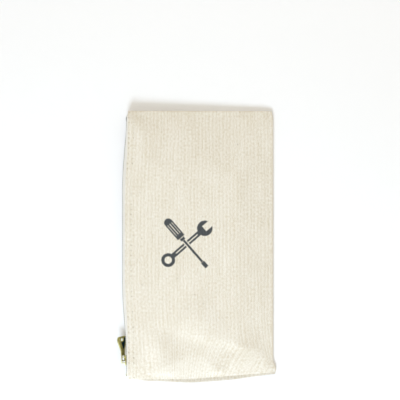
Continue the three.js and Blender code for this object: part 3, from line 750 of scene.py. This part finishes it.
def fill(made, inputs):
    """Sets a node's inputs. One that is an output socket is linked, any other is the input's value."""
    for name, value in inputs.items():
        if isinstance(value, bpy.types.NodeSocket):
            made.id_data.links.new(value, made.inputs[name])
        else:
            made.inputs[name].default_value = value
    return made


def node(tree, kind, inputs=None, **settings):
    made = tree.nodes.new("ShaderNode" + kind)
    for name, value in settings.items():
        setattr(made, name, value)
    return fill(made, inputs or {})


def material(name):
    """A named material with an empty Principled shader."""
    made = bpy.data.materials.new(name)
    made.use_nodes = True
    return made, made.node_tree, made.node_tree.nodes["Principled BSDF"]


def dress(made, *pieces):
    for piece in pieces:
        piece.data.materials.append(made)


print("middle grey in linear light:", np.round(linear("#808080"), 3).tolist())


# %% Sums, ranges and places
def maths(operation, a, b=0.0, c=0.0):
    return node(a.id_data, "Math", {0: a, 1: b, 2: c}, operation=operation).outputs[0]


def minus(a, b):
    return maths("SUBTRACT", a, b)


def size_of(a):
    """The value without its sign."""
    return maths("ABSOLUTE", a)


def blend_of(start, *parts):
    """start + the sum of each part times its weight, each part being (socket, weight)."""
    for socket, weight in parts:
        start = maths("MULTIPLY_ADD", socket, weight, start)
    return start


def wave(value, length):
    """A sine wave of that length in the value's own units: sin(2 pi value / length)."""
    return maths("SINE", maths("MULTIPLY", value, 2 * np.pi / length))


def remap(value, start, end, low=0.0, high=1.0, **settings):
    """Takes the range from start to end to the range from low to high, and goes no further."""
    ends = {"Value": value, "From Min": start, "From Max": end, "To Min": low, "To Max": high}
    return node(value.id_data, "MapRange", ends, **settings).outputs[0]


def mixed(share, low, high):
    """A colour between two others; share is 0 at the first and 1 at the second."""
    return node(share.id_data, "Mix", {0: share, 6: low, 7: high}, data_type="RGBA").outputs[2]


def turned(vector, **settings):
    """A vector scaled, turned and moved by a Mapping node."""
    return node(vector.id_data, "Mapping", {"Vector": vector, **settings}).outputs[0]


def in_millimetres(vector):
    return turned(vector, Scale=(1000, 1000, 1000))


def on_object(tree):
    return node(tree, "TexCoord").outputs["Object"]


def xyz(vector):
    return node(vector.id_data, "SeparateXYZ", {0: vector}).outputs


def noise(vector, scale, detail, roughness=0.5):
    settings = {"Vector": vector, "Scale": scale, "Detail": detail, "Roughness": roughness}
    return node(vector.id_data, "TexNoise", settings).outputs["Fac"]


def stretched(vector, across, along, detail=2.0):
    """Noise on the cloth whose blotches are about that many millimetres across and along the ribs."""
    return noise(turned(vector, Scale=(1 / across, 1 / along, 1)), 1.0, detail)


def bumps(height, strength, distance):
    """Relief for a shader's normal, its height in millimetres."""
    settings = {"Strength": strength, "Distance": distance * MM, "Height": height}
    return node(height.id_data, "Bump", settings).outputs[0]


print("helpers for nodes are ready")

# %% [markdown]
# ## Cotton duck
# Duck is a heavy plain weave whose warp is packed closer than its weft. Each thread goes over one neighbour
# and under the next, so two crossed sine waves, each as long as two threads, make its checker of humps. At
# 1.05 by 1.3 mm a thread that is too fine for a picture at 1.19 mm a pixel, where such cloth reads as ribs,
# so slow ribs 4.1 mm apart are laid over it. Thick places in the yarn, streaks and blotches break up the
# repeat, and unbleached cotton keeps flecks of seed.


# %% The weave's spacings
RIBS, WARP, WEFT = 4.1, 1.05, 1.3  # spacings in millimetres
print("the weave repeats every", 2 * WARP, "by", 2 * WEFT, "mm")

# %% Needle holes
LIP_IN_MAP = 9.3 + (np.pi - 2) * HEM_R  # how far the lip's edge lies from the hem's raw edge on the map


def needle_holes(flat, split):
    """Up to 1 at each hole of both rows, as some holes are pulled open and others closed up, and the
    taut lip closes those of its own row at mid-length. They are drawn 1.3 mm wide, about twice their real
    size. The cloth sinks each hole with it and darkens it with painted shade."""
    along = maths("PINGPONG", split[1], STITCH / 2)
    u = size_of(split[0])
    rows = [size_of(minus(u, LIP_IN_MAP + r)) for r in STITCH_ROWS]
    taut = remap(size_of(split[1]), 50, 90, 0.45, 0)
    rows[0] = maths("ADD", rows[0], taut)
    across = maths("MINIMUM", *rows)
    away = maths("SQRT", blend_of(0.0, (along, along), (across, across)))
    pulled = remap(noise(flat, 0.09, 1.0), 0.4, 0.62)
    return maths("MULTIPLY", remap(away, 0.35, 0.95, 1, 0), pulled)


print("rows on the map:", [round(LIP_IN_MAP + r, 2) for r in STITCH_ROWS], "mm from the raw edge")


# %% Cotton duck
def duck(name, light, dark, ink=None):
    """Ribs, weave, slubs, blotches, needle holes and cotton-seed flecks on the Cloth map, read in
    millimetres, with painted shade in the needle holes and along the lower seam's roll. Where ink is a
    colour, the printed tools lie on top. tone runs from 0, the light colour, to 1, the dark one."""
    made, tree, shader = material(name)
    cloth = node(tree, "UVMap", uv_map="Cloth").outputs[0]
    flat = in_millimetres(cloth)
    split = xyz(flat)
    wander = stretched(flat, 9.0, 40.0)
    u, v = blend_of(split[0], (wander, 4.0)), blend_of(split[1], (wander, 2.0))
    rib = wave(u, RIBS)
    weave = maths("MULTIPLY", wave(u, 2 * WARP), wave(v, 2 * WEFT))
    slubs = stretched(flat, 1.35, 2.7, 3.0)
    streaks = stretched(flat, 2.2, 45.0)
    cloudy = stretched(flat, 26.0, 34.0)
    holes = needle_holes(flat, split)
    tone = blend_of(-1.03, (rib, 0.11), (weave, -0.16), (slubs, 1.9), (streaks, 0.5), (cloudy, 0.4))
    # painted shade: the needle holes darken the tone, standing for the shade inside each hole
    tone = blend_of(tone, (holes, 0.5))
    colour = mixed(tone, linear(light), linear(dark))
    cell = node(tree, "TexVoronoi", {"Vector": flat, "Scale": 0.1, "Randomness": 1.0})
    near = maths("LESS_THAN", blend_of(cell.outputs["Distance"], (slubs, 0.13)), 0.115)
    chance = node(tree, "SeparateColor", {0: cell.outputs["Color"]}).outputs[0]
    flecks_and_shade = maths("MULTIPLY", near, maths("MULTIPLY", chance, 0.75))
    # painted shade: the cloth darkens towards brown on the lower seam's roll
    lower_seam_shade = remap(split[1], 0.5 - HALF, -2.5 - HALF, 0, 0.2)
    flecks_and_shade = blend_of(flecks_and_shade, (holes, 0.55), (lower_seam_shade, 1.0))
    # the brown lays in the seed flecks, the painted shade in the needle holes and the painted shade on the
    # lower seam
    colour = mixed(flecks_and_shade, colour, linear("#7d6747"))
    if ink:
        colour = mixed(printed_tools(slubs), colour, linear(ink))
    relief = blend_of(0.0, (rib, 0.35), (weave, 0.55), (slubs, 1.6), (streaks, 0.8), (holes, -1.0))
    fill(shader, {"Base Color": colour, "Normal": bumps(relief, 0.6, 0.3), "Roughness": 0.92})
    fill(shader, {"Sheen Weight": 0.1, "Sheen Roughness": 0.5, "Specular IOR Level": 0.2})
    return made


# %% [markdown]
# ## The print
# A plain workshop sign is screen-printed on the front, about 76 mm across: a screwdriver crossed over a
# spanner. No image is needed: a few straight and round shapes are enough, each of them known by its
# distance field, which is negative inside. The smaller of two fields joins two shapes, and the larger one
# of a field and another's negative cuts a shape away.


# %% Shapes as distance fields
def bar(s, t, start, end, half):
    """A straight bar along s: the larger of |s - middle| - half length and |t| - half width."""
    middle, reach = (start + end) / 2, (end - start) / 2
    along = minus(size_of(minus(s, middle)), reach)
    return maths("MAXIMUM", along, minus(size_of(t), half))


def disc(s, t, centre, radius):
    """A round shape: the distance from (centre, 0), less the radius."""
    s = minus(s, centre)
    square = blend_of(maths("MULTIPLY", t, t), (s, s))
    return minus(maths("SQRT", square), radius)


def joined(*fields):
    """All shapes as one: the smallest field."""
    whole = fields[0]
    for field in fields[1:]:
        whole = maths("MINIMUM", whole, field)
    return whole


def cut(field, *holes):
    """A shape without its holes: the largest of its field and each hole's negative."""
    for hole in holes:
        field = maths("MAXIMUM", field, maths("MULTIPLY", hole, -1.0))
    return field


# %% The printed sign
PRINT_AT = (-15.5, 1.7)  # its middle on the bag


def printed_tools(slubs):
    """How much ink lies on the cloth: both tools' fields, with edges that bleed along the threads."""
    at = turned(in_millimetres(on_object(slubs.id_data)), Location=(-PRINT_AT[0], -PRINT_AT[1], 0))
    (s, t), (a, b) = [xyz(turned(at, Rotation=(0, 0, np.radians(spin))))[:2] for spin in (49, -41)]
    handle = joined(bar(s, t, -33, -10, 5), disc(s, t, -33, 5))
    handle = cut(handle, bar(s, t, -31, -15, 0.55), bar(s, minus(size_of(t), 2.9), -31, -15, 0.4))
    shank = bar(s, t, -9.2, -6, 2.8), bar(s, t, -6, 28, 1.25), bar(s, t, 28, 36, 2.3)
    screwdriver = joined(handle, *shank)
    ring = cut(disc(a, b, -29, 8), disc(a, b, -29, 4.4))
    jaw = cut(disc(a, b, 28, 9), bar(a, b, 27, 40, 3.9))
    spanner = cut(joined(ring, bar(a, b, -22, 22, 2.9), jaw), bar(a, b, -17, 17, 0.7))
    both = joined(screwdriver, cut(spanner, minus(screwdriver, 1.3)))
    return remap(blend_of(both, (slubs, 1.6)), 0.5, 1.3, 0.93, 0)


print("the sign's middle:", PRINT_AT, "mm")

# %% Canvas on the panels
LINEN, LINEN_SHADE, INK = "#f3eee3", "#d5c9b0", "#25303a"
plain_duck = duck("unbleached cotton duck", LINEN, LINEN_SHADE)
printed_duck = duck("printed cotton duck", LINEN, LINEN_SHADE, INK)
dress(printed_duck, front_upper, front_lower)
dress(plain_duck, front_upper, front_lower, back_canvas)
for piece in (front_upper, front_lower):
    piece.modifiers["cloth thickness"].material_offset = 1
    piece.modifiers["cloth thickness"].material_offset_rim = 1
print("nodes in the printed cloth:", len(printed_duck.node_tree.nodes))


# %% [markdown]
# ## Cotton tape and thread
# A zip tape is woven and a sewing thread is twisted, so both show fine slanting ridges: on tape a twill
# about 1.2 mm apart, on thread the turns of its plies. One sine wave of Y and Z slants across any piece
# without a map of its own. Both are bleached whiter than the canvas, dull, and slightly fuzzy at the edge.


# %% Tape and thread
def cotton(name, light, dark, across, along, relief):
    """Tape or thread: a diagonal twill of those spacings in millimetres."""
    made, tree, shader = material(name)
    split = xyz(on_object(tree))
    slant = maths("MULTIPLY", split[1], 1000 / along)
    slant = maths("MULTIPLY_ADD", split[2], 1000 / across, slant)
    twill = wave(slant, 1.0)
    tone = maths("MULTIPLY_ADD", twill, 0.5, 0.5)
    colour = mixed(tone, linear(light), linear(dark))
    fill(shader, {"Base Color": colour, "Normal": bumps(twill, 0.5, relief), "Roughness": 0.85})
    fill(shader, {"Sheen Weight": 0.2, "Specular IOR Level": 0.25})
    return made


tape_cotton = cotton("woven cotton zip tape", "#f4f1ea", "#e4e0d8", 1.2, 1.6, 0.1)
thread_cotton = cotton("cotton sewing thread", "#f5f1e6", "#e3dcc9", 0.7, 0.9, 0.06)
tapes = (front_tape_upper, front_tape_lower, back_tape)
threads = (*stitches["front"], *stitches["back"], *overlocks)
dress(tape_cotton, *tapes)
dress(thread_cotton, *threads)
print("cotton pieces:", len(tape_cotton.node_tree.nodes), "nodes each")

# %% [markdown]
# ## Brass
# The zip's metal is yellow brass. Its castings are tumbled with grit until they shine softly, and then
# tarnish in patches of a millimetre or two, which are browner and duller. The teeth and the bottom stop are
# painted a dark grey that still has a metal's gloss: a painted dark reflection, as bright brass would
# mirror the white room too brightly here.


# %% Brass
def brass(name, bright, tarnished):
    """Yellow brass, barrel-burnished: bright on the high places, tarnished in soft patches."""
    made, tree, shader = material(name)
    place = on_object(tree)
    blotch = noise(place, 500.0, 6.0, 0.7)  # about 2 mm across
    patch = remap(blotch, 0.3, 0.75, interpolation_type="SMOOTHSTEP")
    colour = mixed(patch, linear(bright), linear(tarnished))
    rough = maths("MULTIPLY_ADD", patch, 0.2, 0.36)
    scratches = bumps(noise(place, 1500.0, 2.0), 0.2, 0.05)
    fill(shader, {"Base Color": colour, "Roughness": rough, "Normal": scratches, "Metallic": 1.0})
    return made


BRIGHT, TARNISHED = "#d3cb8a", "#9a965c"
zip_brass = brass("burnished brass", BRIGHT, TARNISHED)
# painted dark reflection: dark grey metal in place of brass for the teeth and the bottom stop
tooth_brass = brass("brass zip teeth", "#6c6e68", "#40423e")
dress(zip_brass, slider, front_stop, back_stop, rim, eyelet)
dress(tooth_brass, front_teeth_upper, front_teeth_lower, back_teeth, bottom_stop)
print("brass pieces:", len(zip_brass.node_tree.nodes), "nodes each")

# %% [markdown]
# ## The pull tab's painted dark face
# The side of the tab's field that hangs towards the bag is painted blue-black, as painted shade and dark
# reflection, while its rims and its outer side show bare brass. The dark patch's outline follows from the
# same straight and round shapes as the printed sign, so it needs no mesh of its own. The tab hangs aslant,
# so each point is first turned back into the tab's plane.


# %% Painted dark face on the tab
def painted_dark_face(made):
    """Paints blue-black into the tab's field as painted shade and dark reflection: where the point, taken
    back into the tab's own plane, lies in a wedge that widens towards the far end, clear of the hole's rim.
    The wedge keeps to the side that hangs towards the bag, whose face lies in shade; the outer side stays
    bare brass."""
    shader = made.node_tree.nodes["Principled BSDF"]
    at = turned(in_millimetres(on_object(made.node_tree)), Location=tuple(-PIVOT))
    at = turned(at, Rotation=(0, 0, -TAB_TILT))
    _, length, width = xyz(turned(at, Rotation=(0, -TAB_TWIST, 0)))
    near_bag = minus(maths("MULTIPLY_ADD", length, -0.27, 0.27 * 11.5 - 1.7), width)
    outer = minus(width, maths("MULTIPLY_ADD", length, 0.32, -1.5 - 0.32 * 12))
    field = maths("MAXIMUM", maths("MAXIMUM", bar(length, width, 12.3, 27.2, 20), near_bag), outer)
    field = cut(field, disc(length, width, HOLE_AT, 2.9))
    old = shader.inputs["Base Color"].links[0].from_socket
    # painted shade and dark reflection: the blue-black colour is mixed in over the wedge
    fill(shader, {"Base Color": mixed(remap(field, -0.25, 0.15, 1, 0), old, linear("#24404c"))})
    return made


# the tab's brass, with painted shade and dark reflection on the face towards the bag
tab_brass = painted_dark_face(brass("brass with a painted dark face", BRIGHT, TARNISHED))
dress(tab_brass, tab)
print("materials:", len(bpy.data.materials))

# %% [markdown]
# ## Joining the looks to the model
# The slider and the tab ride on their own bodies, and the back's pieces on the bag's. The front's cloth,
# tape, teeth and thread have their places baked into their meshes.

# %% Bodies
for piece in (back_canvas, back_tape, back_teeth, back_stop, bottom_stop, *stitches["back"], *overlocks):
    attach(piece, "bag")
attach(slider, "slider")
for piece in (tab, rim, eyelet):
    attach(piece, "tab")
uppers = [front_upper, front_tape_upper, front_teeth_upper, *stitches["front"][0::2]]
lowers = [front_lower, front_tape_lower, front_teeth_lower, front_stop, *stitches["front"][1::2]]
for piece in uppers:
    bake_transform(piece)
for piece in lowers:
    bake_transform(piece)
print("pieces that bend:", len(uppers) + len(lowers))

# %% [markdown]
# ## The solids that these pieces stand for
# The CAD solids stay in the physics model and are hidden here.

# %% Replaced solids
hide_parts("front_panel")
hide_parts("front_panel")
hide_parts("back_panel", "upper_end_seam", "lower_end_seam")
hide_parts("front_tape")
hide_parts("front_tape")
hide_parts("back_tape")
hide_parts("front_teeth")
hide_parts("front_teeth")
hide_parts("back_teeth")
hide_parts("slider_body")
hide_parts("pull_tab")
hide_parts("bottom_stop")
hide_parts("front_top_stop")
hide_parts("back_top_stop")
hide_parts("upper_seam_overlock")
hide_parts("lower_seam_overlock")
for piece, row in zip(stitches["front"], ("outer", "outer", "inner", "inner")):
    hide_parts(f"front_{row}_stitching")
for piece, row in zip(stitches["back"], ("outer", "inner")):
    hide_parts(f"back_{row}_stitching")
print("solids replaced:", len(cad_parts))

# %% [markdown]
# ## Table and light
# The photograph is cut out on white, so the table is white paper that sweeps up all round. The main
# light is a large soft box beyond the bag's lower end, which leaves the upper end a little darker and gives
# the diagonal ridge a lit side. It is a touch cooler than the light from the rest of the room, so that lit
# cotton looks whiter and shaded cotton warmer, as it does in the photograph. A weak second box beyond the
# upper end keeps the shadow there soft.

# %% Floor and world
scene.view_settings.view_transform = "Standard"
arc = np.radians(np.linspace(0, 90, 12))
reach = np.concatenate([[0.001, 900], 1500 + 1500 * np.sin(arc), [3000]])
rise = np.concatenate([[0, 0], 1500 * (1 - np.cos(arc)), [2400]]) - 0.05
turn = circle(64)
bowl = [reach[:, None] * np.cos(turn), reach[:, None] * np.sin(turn), rise[:, None] + 0 * turn]
floor = surface("pale_table", np.stack(bowl, -1), loops=(False, True))
paper, _, shader = material("white paper sweep")
fill(shader, {"Base Color": linear("#fcfcfd"), "Roughness": 0.8})
dress(paper, floor)

world = bpy.data.worlds.new("studio")
scene.world = world
world.use_nodes = True
fill(world.node_tree.nodes["Background"], {"Color": linear("#fff8e8"), "Strength": 0.64})
print("floor:", len(floor.data.polygons), "quads")


# %% Lamps
def softbox(name, place, power, size, colour):
    """A square lamp at place, turned to face the bag."""
    lamp = bpy.data.lights.new(name, "AREA")
    lamp.energy, lamp.size, lamp.color = power, size, linear(colour)[:3]
    held = placed(name, lamp)
    held.location = place
    held.rotation_euler = (-Vector(place)).to_track_quat("-Z", "Y").to_euler()
    return held


key = softbox("key_softbox", (-0.3, -1.1, 1.05), 17.5, 0.6, "#dfeeff")
softbox("upper_softbox", (0.2, 1.2, 0.7), 3, 0.8, "#ffffff")
print("key lamp:", key.data.energy, "W")
